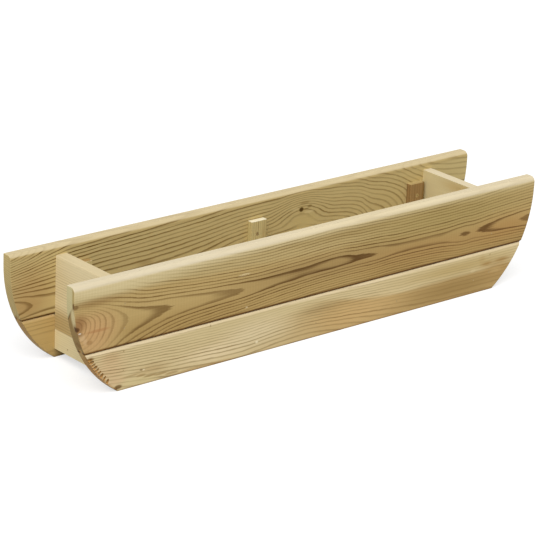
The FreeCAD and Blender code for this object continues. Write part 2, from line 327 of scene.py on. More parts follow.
def is_arris(edge):
    if len(edge.link_faces) != 2 or not edge.is_convex:
        return False
    is_long = edge.calc_length() > SHORTEST_ARRIS * MM
    return is_long and edge.calc_face_angle() > math.radians(ARRIS_DEG)


def without_slivers(shape):
    """Joins corners that coincide, and removes the faces with no area that this leaves."""
    bmesh.ops.remove_doubles(shape, verts=shape.verts, dist=WELD * MM)
    bmesh.ops.dissolve_degenerate(shape, dist=WELD * MM, edges=shape.edges)


def eased_board(node, easing):
    shape = bmesh.new()
    shape.from_mesh(frame["nodes"][node].data)
    bmesh.ops.remove_doubles(shape, verts=shape.verts, dist=WELD * MM)
    flat = math.radians(FLAT_DEG)
    bmesh.ops.dissolve_limit(shape, angle_limit=flat, verts=shape.verts, edges=shape.edges)
    bmesh.ops.bevel(
        shape,
        geom=[edge for edge in shape.edges if is_arris(edge)],
        offset=easing * MM,
        segments=ARRIS_STEPS,
        profile=ROUND_PROFILE,
        affect="EDGES",
        clamp_overlap=True,
    )
    without_slivers(shape)
    mesh = bpy.data.meshes.new(f"{node}_pine")
    shape.to_mesh(mesh)
    shape.free()
    return mesh


slots = {part["node"]: part["material_slot"] for part in frame["record"]["subparts"]}
boards = {}
for node, slot in slots.items():
    if not slot.endswith("_pine"):
        continue
    mesh = eased_board(node, BATTEN_EASING if slot == "batten_pine" else BOARD_EASING)
    boards[node] = bpy.data.objects.new(f"{node}_pine", mesh)
    bpy.context.scene.collection.objects.link(boards[node])
    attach(boards[node], "root")
    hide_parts(node)
print("boards:", {name: len(piece.data.polygons) for name, piece in boards.items()})

# %% [markdown]
# ## Torn end grain
# Where the saw came out at the curved left end of the front lower board, wood broke away and left a row
# of small scoops along the arris, like the scales of a fish. They could be painted, but they show in
# the outline of the board, so they are cut: a row of slim egg shapes is taken away with a Boolean.

# %% Scoops
END_REACH = 88.0
CURVE_START = 172.0
BED_HALF_LENGTH = round(cad_box[1][0] / MM)
FRONT_FACE = round(cad_box[0][1] / MM)
CURVE_RADIUS = (END_REACH**2 + CURVE_START**2) / (2 * END_REACH)
CURVE_CENTRE = Vector((CURVE_RADIUS - BED_HALF_LENGTH, CURVE_START))
SCOOP_HEIGHTS = [65.0, 59.5, 54.0, 48.5, 43.0, 37.0, 31.0, 24.5, 18.0]
SCOOP_HALF_LENGTH = 6.0
SCOOP_DEPTH = 2.7
SCOOP_HALF_WIDTH = 2.3
SCOOP_INSET = 3.0
SCOOP_PROUD = 0.2
SCOOP_SWAY = 0.2
SWAY_STEP = 2.4
TOP_LEAN_DEG = 6.0
LEAN_PER_MM_DEG = 1.3
EGG_SEGMENTS = 16
EGG_RINGS = 10


def end_of_board(height):
    """Where the curved left end of the front panel is at this height."""
    return CURVE_CENTRE.x - math.sqrt(CURVE_RADIUS**2 - (CURVE_CENTRE.y - height) ** 2)


def scoop_row():
    shape = bmesh.new()
    for number, height in enumerate(SCOOP_HEIGHTS):
        sway = 1.0 + SCOOP_SWAY * math.sin(number * SWAY_STEP)
        size = Vector((SCOOP_HALF_LENGTH, SCOOP_DEPTH * sway, SCOOP_HALF_WIDTH * sway)) * MM
        lean = math.radians(TOP_LEAN_DEG + (SCOOP_HEIGHTS[0] - height) * LEAN_PER_MM_DEG)
        turn = Matrix.Rotation(-lean, 4, "Y")
        arris = Vector((end_of_board(height), FRONT_FACE - SCOOP_PROUD, height)) * MM
        place = Matrix.Translation(arris) @ turn @ Matrix.Translation((SCOOP_INSET * MM, 0.0, 0.0))
        egg = place @ Matrix.Diagonal((*size, 1.0))
        bmesh.ops.create_uvsphere(
            shape, u_segments=EGG_SEGMENTS, v_segments=EGG_RINGS, radius=1.0, matrix=egg
        )
    mesh = bpy.data.meshes.new("scoops")
    shape.to_mesh(mesh)
    shape.free()
    return mesh


print("scoops:", len(SCOOP_HEIGHTS), "curve radius:", round(CURVE_RADIUS, 1), "mm")


# %% Carving and normals
def carve(piece, cutter_mesh):
    cutter = bpy.data.objects.new("cutter", cutter_mesh)
    bpy.context.scene.collection.objects.link(cutter)
    cut = piece.modifiers.new("carve", "BOOLEAN")
    cut.object = cutter
    cut.solver = "EXACT"
    cut.use_self = True
    bpy.context.view_layer.update()
    carved = bpy.data.meshes.new_from_object(piece.evaluated_get(bpy.context.evaluated_depsgraph_get()))
    piece.modifiers.remove(cut)
    piece.data = carved
    bpy.data.objects.remove(cutter)
    shape = bmesh.new()
    shape.from_mesh(carved)
    without_slivers(shape)
    shape.to_mesh(carved)
    shape.free()


def finish_normals(piece):
    """Smooth shading over eased arrises, flat shading on wide faces, sharp lines where faces meet."""
    piece.data.shade_smooth()
    for polygon in piece.data.polygons:
        polygon.use_smooth = polygon.area < WIDE_FACE_M2
    piece.data.set_sharp_from_angle(angle=math.radians(SHARP_DEG))
    normals = piece.modifiers.new("flat faces stay flat", "WEIGHTED_NORMAL")
    normals.keep_sharp = True


carve(boards["front_lower_board"], scoop_row())
for piece in boards.values():
    finish_normals(piece)
print("carved board:", len(boards["front_lower_board"].data.polygons), "faces")

# %% [markdown]
# ## Growth rings
# A board shows the rings of the log that it was cut from. Each ring is a tube around the pith, pale in
# spring and dark in late summer. A flat picture could only be stretched over the faces, so the rings
# are a solid texture: the distance of a point from the pith line, divided by the width of a ring. Where
# the pith line comes nearer to the face or moves away, the lines close to the arches and flames of a
# flat-sawn board, and the same rings show again on the end grain.

# %% Tools for grain
LENGTH_RANGE = (-520.0, 520.0)
DEPTH_RANGE = (0.0, 130.0)
SPREAD_RANGE = (0.0, 2.0)
HEIGHT_RANGE = (-100.0, 400.0)
SHARE_RANGE = (0.0, 1.0)
GROWTH_RANGE = (0.0, 400.0)
END_TURN = (0.55, 0.85)


def share(value, limits):
    return (value - limits[0]) / (limits[1] - limits[0])


def level(value):
    """A line that has the same value from end to end."""
    return [(-BED_HALF_LENGTH, value), (BED_HALF_LENGTH, value)]


def curve_along(along, points, limits, reach=LENGTH_RANGE):
    """A smooth line through given points: a distance along the board, and the value there."""
    places = [(share(position, reach), share(value, limits)) for position, value in points]
    line = along.node("ShaderNodeFloatCurve", {"points": places}, {"Value": share(along, reach)})
    return line * (limits[1] - limits[0]) + limits[0]


def cloud(grain, lengths, detail=2.0):
    """Noise from -1 to 1 whose patches have the given lengths along, across and into the board."""
    along = grain["along"]
    scaled = [grain[way] / length for way, length in zip(("along", "across", "inward"), lengths)]
    place = along.node("ShaderNodeCombineXYZ", None, dict(enumerate(scaled)))
    noise = along.node("ShaderNodeTexNoise", None, {"Vector": place, "Scale": 1.0, "Detail": detail})
    return noise * 2.0 - 1.0


print("lines and clouds are ready")


# %% Places on a board
def parts_of(start, vector):
    return {axis: start.node("ShaderNodeSeparateXYZ", None, {0: vector}, axis.upper()) for axis in "xyz"}


def board_grain(start, node, axes):
    """Millimetres along the grain, across the face and inward from it, and where the surface faces."""
    along, across, depth, face = axes
    place = parts_of(start, start.node("ShaderNodeTexCoord", None, None, "Object"))
    normal = parts_of(start, start.node("ShaderNodeNewGeometry", None, None, "Normal"))
    low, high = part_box(node)
    number = "xyz".index(depth)
    inward = place[depth] - low[number] if face == "low" else high[number] - place[depth]
    return {
        "along": place[along] / MM,
        "across": place[across] / MM,
        "inward": inward / MM,
        "end": normal[along].size().rise(*END_TURN),
        "up": normal["z"],
    }


def patch(grain, spot, edge, ways=("along", "across")):
    """1 inside a soft-edged oval on the face or, with other ways, on an end, and 0 outside it."""
    steps = [(grain[way] - at) / reach for way, at, reach in zip(ways, spot["at"], spot["reach"])]
    distance = (steps[0] * steps[0] + steps[1] * steps[1]).root()
    return (1 - distance.rise(edge, 1.0)) * spot["share"]


print("grain tools are ready")

# %% [markdown]
# ## Rings and tones
# The rings of a real log wander, some years grow strong lines and others weak ones, and a knot pushes
# the rings around itself. The wood between the lines changes its tone slowly, with borders that follow
# the grain. Noise could make such changes, but it would put them anywhere. A board has only a few of
# them, so each is a band or an oval with a place and a tone of its own, and noise only roughens the
# borders.

# %% Rings and tones
LINE_TINT = (0.23, 0.14, 0.015, 1.0)
STREAK_TINT = (0.74, 0.70, 0.60, 1.0)
LATE_SUMMER = (0.52, 0.82)
WINTER = (0.93, 1.0)
WEAK_YEAR = 0.45
YEAR_CHANGE = 0.55
WAVE_PATCH = (170, 60, 60)
RIPPLE_PATCH = (34, 8, 8)
RIPPLE_SHARE = 0.4
JITTER_PATCH = (60, 1.8, 1.8)
JITTER = 0.35
PULL_EDGE = 0.0
ZONE_EDGE = 0.1
BORDER_DRIFT = 2.0


def ring_count(log, grain):
    """How many rings lie between the pith and a point of the board."""
    along = grain["along"]
    wave = cloud(grain, WAVE_PATCH) * log["wander"]
    ripple = cloud(grain, RIPPLE_PATCH) * (log["wander"] * RIPPLE_SHARE)
    jitter = cloud(grain, JITTER_PATCH) * JITTER
    height = grain["across"] + wave + ripple - curve_along(along, log["pith_height"], HEIGHT_RANGE)
    below = height * (0 - curve_along(along, log["lower_pinch"], SPREAD_RANGE))
    height = height.larger(below) / curve_along(along, log["spread"], SPREAD_RANGE)
    height = curve_along(height, log["growth"], GROWTH_RANGE, GROWTH_RANGE)
    depth = curve_along(along, log["pith_depth"], DEPTH_RANGE) - grain["inward"]
    rings = ((height * height + depth * depth).root() + jitter) / log["ring"]
    for knot in log["knots"]:
        pull = {"at": knot["at"], "reach": knot["pulls"], "share": knot["pull"]}
        rings = rings - patch(grain, pull, PULL_EDGE)
    return rings


def summer_lines(rings):
    """Dark at the end of each year's growth, and stronger in some years than in others."""
    year = rings.whole()
    season = rings - year
    dice = rings.node("ShaderNodeTexWhiteNoise", {"noise_dimensions": "1D"}, {"W": year})
    return season.rise(*LATE_SUMMER) * (1 - season.rise(*WINTER)) * (dice * YEAR_CHANGE + WEAK_YEAR)


def ground_colour(log, grain):
    """The wood between the lines, with its slow changes of tone."""
    colour = tint(*log["ground"])
    for band in log["bands"]:
        line = curve_along(grain["along"], band["line"], HEIGHT_RANGE)
        border = line + grain["drift"] * BORDER_DRIFT + grain["streak"] * band["streaks"]
        inside = ((grain["across"] - border) * band["side"]).rise(-band["soft"], band["soft"])
        inside = inside * curve_along(grain["along"], band["share"], SHARE_RANGE)
        colour = inside.blend(colour, tint(*band["tone"]))
    for zone in log["zones"]:
        colour = patch(grain, zone, ZONE_EDGE).blend(colour, tint(*zone["tone"]))
    return colour


print("rings and tones are ready")

# %% [markdown]
# ## Ends, knots and marks
# The sawn ends have drawn in more of the greenish-brown preservative, most of all close to the face. On
# the front panel a ring crosses the end, with browner wood below it. A knot is the foot of a branch: a
# dark core, a ring of bark and browner wood around it. Small marks are stains, flakes and splinters; on
# the front lower board a few are painted shade, in the joint and in its top scoop, and a batten has a
# darker strip along one edge. All of them could be painted on a picture, but ovals with soft edges that
# are placed in millimetres need none and stay sharp in a close view.

# %% Ends, knots and marks
OUTER_END_DEPTH = (3.5, 6.5)
END_RING_SLOPE = 1.45
END_RING_BORDER = (-2.0, 2.0)
END_RING_LINE = (0.5, 5.0)
END_RING_SHARE = 0.6
END_MARK_EDGE = 0.3
KNOT_LAYERS = (
    {"name": "halo", "grow": 2.6, "edge": 0.2, "share": 0.55},
    {"name": "rim", "grow": 1.25, "edge": 0.7, "share": 0.9},
    {"name": "core", "grow": 1.0, "edge": 0.4, "share": 0.85},
)
KNOT_FADE = 0.6
FLAKE_PATCH = (3.0, 1.5, 1.5)
FLAKE_GAPS = (-0.25, 0.1)
MARK_EDGE = 0.45
MARK_DEPTH = (3.0, 4.5)


def end_grain(log, grain, colour):
    """The two sawn ends."""
    outer = 1 - grain["inward"].rise(*OUTER_END_DEPTH)
    sapwood = outer.blend(tint(*log["end"]), tint(*log["outer_end"]))
    height = grain["across"] + grain["inward"] * END_RING_SLOPE - log["end_ring"]
    tone = height.rise(*END_RING_BORDER).blend(tint(*log["low_end"]), sapwood)
    ring = (1 - height.size().rise(*END_RING_LINE)) * END_RING_SHARE
    tone = ring.blend(tone, LINE_TINT, "MULTIPLY")
    for mark in log["end_marks"]:
        oval = patch(grain, mark, END_MARK_EDGE, ("inward", "across"))
        tone = oval.blend(tone, tint(*mark["tone"]))
    return grain["end"].blend(colour, tone)


def add_knots(log, grain, colour):
    for knot in log["knots"]:
        shallow = 1 - grain["inward"].rise(knot["deep"] * KNOT_FADE, knot["deep"])
        for layer in KNOT_LAYERS:
            reach = [layer["grow"] * length for length in knot["reach"]]
            oval = {"at": knot["at"], "reach": reach, "share": layer["share"]}
            inside = patch(grain, oval, layer["edge"]) * shallow
            colour = inside.blend(colour, tint(*knot[layer["name"]]))
    return colour


def add_marks(log, grain, colour):
    flakes = cloud(grain, FLAKE_PATCH).rise(*FLAKE_GAPS)
    shallow = 1 - grain["inward"].rise(*MARK_DEPTH)
    for mark in log["marks"]:
        oval = patch(grain, mark, MARK_EDGE) * shallow
        colour = (oval * flakes if mark.get("flaky") else oval).blend(colour, tint(*mark["tone"]))
    return colour


print("ends, knots and marks are ready")

# %% [markdown]
# ## Torn wood
# Inside the scoops the open pores are brown, and towards the far side of each scoop a darker brown is
# painted shade, where its wall rises to the face. Their faces could get a material of their own, but the
# cut leaves faces that also reach over the arris. So the brown is found from the place of a point: behind
# the face of the board, yet still in front of its curved end.

# %% Torn wood
TORN_RIM_TONE = (180, 132, 68)
# browner, darker tone of the scoops' far side: torn wood with painted shade
TORN_SHADED_TONE = (142, 104, 50)
TORN_END = (-410.0, -402.0)
TORN_FOOT = (2.0, 6.0)
TORN_TOP = (67.0, 69.5)
TORN_SHADE_SPREAD = (1.5, 6.0)
TORN_SHARE = 0.9
TORN_RIM = (1.2, 3.6)
TORN_RIM_SHARE = 0.45
BEHIND_FACE = (0.1, 0.5)
FACING_UP = (0.05, 0.2)
BEHIND_SCOOPS = (3.6, 4.2)
WITHIN_END = (0.1, 0.9)


def add_torn_wood(grain, colour):
    """Brown inside the scoops, behind the face and within the curved end, and along their rim; painted
    shade darkens their far side.
    """
    ways = [grain["along"] - CURVE_CENTRE.x, grain["across"] - CURVE_CENTRE.y]
    inset = CURVE_RADIUS - (ways[0] * ways[0] + ways[1] * ways[1]).root()
    row = grain["across"].rise(*TORN_FOOT) * (1 - grain["across"].rise(*TORN_TOP))
    row = row * (1 - grain["along"].rise(*TORN_END))
    rim = (1 - inset.rise(*TORN_RIM)) * row * TORN_RIM_SHARE
    colour = rim.blend(colour, tint(*TORN_RIM_TONE))
    inside = grain["inward"].rise(*BEHIND_FACE).larger(grain["up"].rise(*FACING_UP))
    inside = inside * (1 - grain["inward"].rise(*BEHIND_SCOOPS)) * inset.rise(*WITHIN_END)
    # towards the far side of each scoop the tone darkens: painted shade where the scoop wall rises
    tone = inset.rise(*TORN_SHADE_SPREAD).blend(tint(*TORN_RIM_TONE), tint(*TORN_SHADED_TONE))
    return (inside * row * TORN_SHARE).blend(colour, tone)


print("torn wood is ready")

# %% [markdown]
# ## Pine
# One function makes the pine of every board. It takes the board's own log: how far the pith lies behind
# the face, at which height, how wide the rings are, where the knots sit and which tones the wood has.
# Over the rings come streaks, fine fibres and the ripple of the planer's knives. Faces that look up are
# paler: partly bleached wood and partly a painted highlight. Lower edges are darker with painted shade.

# %% A plain log
# Bands of painted shade along a board's lower edge: none, the joint under an upper board, and the foot of
# a lower board on the floor.
NO_EDGE_SHADE = {"at": -300.0, "reach": 1.0, "share": 0.0}
JOINT_SHADE = {"at": 75.1, "reach": 5.6, "share": 0.97}
FOOT_SHADE = {"at": 0.0, "reach": 3.2, "share": 0.5}
PLAIN_LOG = {
    "pith_height": level(0),
    "pith_depth": level(60),
    "spread": level(1.0),
    "lower_pinch": level(1.0),
    "growth": [(0, 0), (400, 400)],
    "ring": 3.2,
    "wander": 1.5,
    "line": level(0.5),
    "ground": (190, 164, 112),
    # faces that look up: bleached wood with a painted highlight, the facing that starts it and its share
    # along the board
    "top": (206, 190, 152),
    "bleach_and_light": (0.0, 0.5),
    "bleach_and_light_share": level(1.0),
    "end": (176, 150, 102),
    "outer_end": (150, 122, 74),
    "end_ring": -300.0,
    "low_end": (164, 134, 84),
    "zones": [],
    "bands": [],
    "end_marks": [],
    "knots": [],
    "marks": [],
    "planer": 0.0,
    "torn": False,
    "edge_shade": NO_EDGE_SHADE,
}
print("a plain log has", len(PLAIN_LOG), "properties")

# %% Pine material
PLANER_PITCH = 5.7
FIBRE_PATCH = (45, 0.9, 0.9)
STREAK_PATCH = (150, 3.2, 3.2)
DRIFT_PATCH = (140, 26, 26)
FINE_DETAIL = 3.0
STREAK_SHADE = 0.5
DRIFT_SHADE = 0.35
FIBRE_SHADE = 0.25
SHADE_RANGE = (-0.8, 0.9)
SHADE_SHARE = 0.5
LINE_LEVEL = 0.9
LINE_FIBRE = 0.3
LINE_DRIFT = 0.5
# how much the bleached tone and painted highlight of the tops hide the lines
BLEACH_AND_LIGHT_HIDE = 0.85
END_HIDES = 0.6
# the colour and fade of the painted shade along lower edges
EDGE_SHADE_TINT = (0.32, 0.19, 0.045, 1.0)
EDGE_SHADE_FADE = (0.4, 1.0)
ROUGHNESS = 0.64
LINE_GLOSS = 0.12
FIBRE_ROUGHNESS = 0.06
FIBRE_RELIEF = 0.5
RELIEF_STRENGTH = 0.3
RELIEF_DEPTH_M = 0.0003
WOOD_SPECULAR = 0.15


def dark_lines(log, grain, bleached_and_lit):
    """The rings' lines, weaker under the bleached tone and painted highlight of the tops, on the sawn
    ends and in calm zones.
    """
    strength = LINE_LEVEL + grain["fibre"] * LINE_FIBRE + grain["drift"] * LINE_DRIFT
    lines = summer_lines(ring_count(log, grain)) * strength
    lines = lines * curve_along(grain["along"], log["line"], SHARE_RANGE)
    lines = lines * (1 - bleached_and_lit * BLEACH_AND_LIGHT_HIDE) * (1 - grain["end"] * END_HIDES)
    for zone in log["zones"]:
        if "calm" in zone:
            lines = lines * (1 - patch(grain, zone, ZONE_EDGE) * zone["calm"])
    return lines


def add_edge_shade(log, grain, colour):
    """Painted shade along the lower edge of a board: in the joint under an upper board and at the foot on
    the floor.
    """
    edge_shade = log["edge_shade"]
    height = (grain["across"] - edge_shade["at"]) / edge_shade["reach"]
    shaded = (1 - height.rise(*EDGE_SHADE_FADE)) * edge_shade["share"]
    return shaded.blend(colour, EDGE_SHADE_TINT, "MULTIPLY")


def pine(node, axes, log):
    material, start = new_material(f"{node}_pine")
    grain = board_grain(start, node, axes)
    grain["fibre"] = cloud(grain, FIBRE_PATCH, FINE_DETAIL)
    grain["streak"] = cloud(grain, STREAK_PATCH, FINE_DETAIL)
    grain["drift"] = cloud(grain, DRIFT_PATCH)
    # Faces that look up turn paler: partly bleached wood, partly a painted highlight from the lamp above.
    bleached_and_lit = grain["up"].rise(*log["bleach_and_light"])
    bleached_and_lit = bleached_and_lit * curve_along(grain["along"], log["bleach_and_light_share"], SHARE_RANGE)
    knives = (grain["along"] * (2 * math.pi / PLANER_PITCH)).ripple() * (1 - bleached_and_lit) * log["planer"]
    lines = dark_lines(log, grain, bleached_and_lit)
    colour = bleached_and_lit.blend(ground_colour(log, grain), tint(*log["top"]))
    colour = end_grain(log, grain, colour)
    shade = grain["streak"] * STREAK_SHADE + grain["drift"] * DRIFT_SHADE + grain["fibre"] * FIBRE_SHADE
    shade = (shade + knives).rise(*SHADE_RANGE) * SHADE_SHARE
    colour = shade.blend(colour, STREAK_TINT, "MULTIPLY")
    colour = lines.blend(colour, LINE_TINT, "MULTIPLY")
    colour = add_marks(log, grain, add_knots(log, grain, colour))
    if log["torn"]:
        colour = add_torn_wood(grain, colour)
    # painted shade along the lower edge
    colour = add_edge_shade(log, grain, colour)
    rough = ROUGHNESS - lines * LINE_GLOSS + grain["fibre"] * FIBRE_ROUGHNESS
    relief = grain["fibre"] * FIBRE_RELIEF - lines + knives
    bump = {"Strength": RELIEF_STRENGTH, "Distance": RELIEF_DEPTH_M, "Height": relief}
    sockets = {
        "Base Color": colour,
        "Roughness": rough,
        "Normal": start.node("ShaderNodeBump", None, bump),
        "Specular IOR Level": WOOD_SPECULAR,
    }
    finish_surface(start, start.node("ShaderNodeBsdfPrincipled", None, sockets))
    return material


SIDE_AXES = ("x", "z", "y", "low")
LEFT_WALL_AXES = ("y", "z", "x", "low")
RIGHT_WALL_AXES = ("y", "z", "x", "high")
FLOOR_AXES = ("x", "y", "z", "high")
FRONT_BATTEN_AXES = ("z", "x", "y", "high")
BACK_BATTEN_AXES = ("z", "x", "y", "low")
print("pine is ready")

# %% [markdown]
# ## The front panel
# The upper board is flat-sawn: a long flame runs down its middle, closed on the left by arches around a
# knot and on the right by a dark V. The lower board was cut further from the heart and is paler. Its
# right half is stained. Rings from noise alone never close in the right places, so the depth of the
# pith was set at points along the board, until the arches came out where they are on the real
# one.

# %% Front upper board
FRONT_UPPER_LOG = {
    "pith_height": [
        (-500, 127), (-450, 125), (-400, 120), (-307, 120), (-200, 118), (-155, 117), (-60, 120.5),
        (40, 124), (100, 122), (165, 121), (250, 120), (336, 117), (400, 117.5), (500, 117.5),
    ],
    "pith_depth": [
        (-500, 15), (-480, 20), (-467, 24), (-457, 27), (-447, 30), (-436, 33), (-420, 36), (-393, 39),
        (-345, 41), (-307, 41.9), (-240, 43.4), (-155, 45), (-130, 45.9), (-100, 46.4), (-60, 46.7),
        (-25, 46.9), (0, 46.7), (40, 46.4), (65, 46.8), (80, 47.3), (100, 47.55), (118, 47.75),
        (132, 48.05), (165, 49.3), (200, 49.6), (250, 49.6), (290, 49.3), (318, 48.1), (328, 47.8),
        (337, 47.7), (346, 47.85), (355, 48.1), (364, 47.9), (374, 47.7), (400, 46.9), (455, 45.3),
        (500, 44.2),
    ],
    "spread": [
        (-500, 0.95), (-480, 1.0), (-450, 1.12), (-425, 1.3), (-400, 1.4), (-375, 1.3), (-350, 1.18),
        (-300, 1.07), (-250, 1.0), (500, 1.0),
    ],
    "lower_pinch": [
        (-500, 0.57), (-450, 0.48), (-420, 0.57), (-400, 0.67), (-380, 0.72), (-350, 0.77), (-300, 0.94),
        (-250, 1.0), (-150, 1.1), (500, 1.1),
    ],
    "growth": [
        (0, 0), (10, 10), (20, 22), (30, 32.5), (40, 41.5), (50, 49.5), (60, 57), (80, 71), (400, 290),
    ],
    "ring": 3.0,
    "wander": 1.8,
    "line": [
        (-500, 0.4), (-460, 0.44), (-430, 0.52), (-380, 0.8), (-200, 0.95), (250, 1.0), (320, 0.9),
        (500, 0.85),
    ],
    "planer": 0.16,
    "ground": (197, 169, 111),
    "top": (214, 201, 172),
    "bleach_and_light_share": [(-500, 1.0), (-150, 0.97), (50, 0.72), (200, 0.72), (350, 0.86), (500, 0.84)],
    "end": (210, 198, 150),
    "outer_end": (186, 164, 108),
    "end_ring": 163.0,
    "low_end": (160, 132, 80),
    "end_marks": [
        {"at": (5, 140), "reach": (8, 26), "tone": (224, 208, 158), "share": 0.9},
        {"at": (1, 162), "reach": (5, 6), "tone": (112, 82, 42), "share": 0.8},
        {"at": (6, 92), "reach": (14, 8), "tone": (134, 100, 56), "share": 0.6},
    ],
    "bands": [
        {
            "line": [(-500, 160), (-400, 166), (-200, 158), (0, 150), (500, 150)],
            "side": 1,
            "soft": 9,
            "streaks": 4,
            "share": [(-500, 0.9), (-300, 0.8), (0, 0.5), (500, 0.2)],
            "tone": (202, 182, 130),
        },
        {
            "line": level(112),
            "side": -1,
            "soft": 14,
            "streaks": 4,
            "share": [
                (-500, 0.0), (-430, 0.1), (-360, 0.8), (-200, 0.75), (-100, 0.5), (50, 0.5), (150, 0.85),
                (500, 0.85),
            ],
            "tone": (180, 149, 91),
        },
        # pale band on the rounded top edge: partly paler wood, partly a painted highlight
        {
            "line": level(179),
            "side": 1,
            "soft": 7,
            "streaks": 2,
            "share": [(-500, 0.9), (-150, 0.8), (0, 0.6), (500, 0.5)],
            "tone": (228, 210, 164),
        },
    ],
    "zones": [
        {"at": (-410, 178), "reach": (230, 20), "tone": (226, 208, 160), "share": 0.85, "calm": 1.0},
        {"at": (-465, 112), "reach": (75, 48), "tone": (211, 167, 115), "share": 0.8},
        {"at": (-460, 160), "reach": (80, 11), "tone": (156, 122, 72), "share": 0.6},
        {"at": (20, 124), "reach": (330, 34), "tone": (156, 125, 76), "share": 0.6},
        {"at": (70, 173), "reach": (190, 15), "tone": (172, 147, 92), "share": 0.5},
        {"at": (-490, 131), "reach": (24, 22), "tone": (150, 104, 60), "share": 0.7},
        {"at": (-462, 88), "reach": (38, 20), "tone": (210, 171, 119), "share": 0.6, "calm": 0.85},
        {"at": (430, 112), "reach": (120, 40), "tone": (184, 142, 84), "share": 0.7},
        {"at": (250, 112), "reach": (240, 40), "tone": (180, 144, 88), "share": 0.75},
        {"at": (290, 158), "reach": (300, 50), "tone": (178, 155, 96), "share": 0.8},
        {"at": (430, 180), "reach": (180, 16), "tone": (200, 178, 122), "share": 0.4, "calm": 0.6},
        {"at": (0, 192), "reach": (1200, 19), "tone": (218, 200, 152), "share": 0.8, "calm": 0.9},
    ],
    "knots": [
        {
            "at": (-496, 121),
            "reach": (7, 4.5),
            "pulls": (40, 30),
            "pull": 0.6,
            "deep": 7.0,
            "halo": (150, 108, 66),
            "rim": (104, 70, 36),
            "core": (86, 56, 26),
        }
    ],
    "marks": [
        {"at": (-497, 159), "reach": (8, 5), "tone": (116, 86, 46), "share": 0.7},
        {"at": (-483, 106), "reach": (7, 7), "tone": (218, 186, 140), "share": 0.55},
        {"at": (-477, 98), "reach": (5, 7), "tone": (218, 186, 140), "share": 0.4},
        {"at": (-487, 112), "reach": (7, 5), "tone": (140, 108, 74), "share": 0.6},
        {"at": (-488, 114), "reach": (3.4, 1.5), "tone": (240, 228, 206), "share": 0.85},
        {"at": (-469, 95), "reach": (8, 5), "tone": (150, 110, 62), "share": 0.5},
        {"at": (-452, 112), "reach": (30, 3.4), "tone": (172, 116, 70), "share": 0.45},
        {"at": (-160, 144), "reach": (16, 2.6), "tone": (228, 208, 162), "share": 0.7, "flaky": True},
        {"at": (-153, 86), "reach": (4, 2), "tone": (226, 206, 164), "share": 0.7, "flaky": True},
    ],
    "edge_shade": JOINT_SHADE,
}
print("front upper board:", len(FRONT_UPPER_LOG["zones"]), "zones of tone")

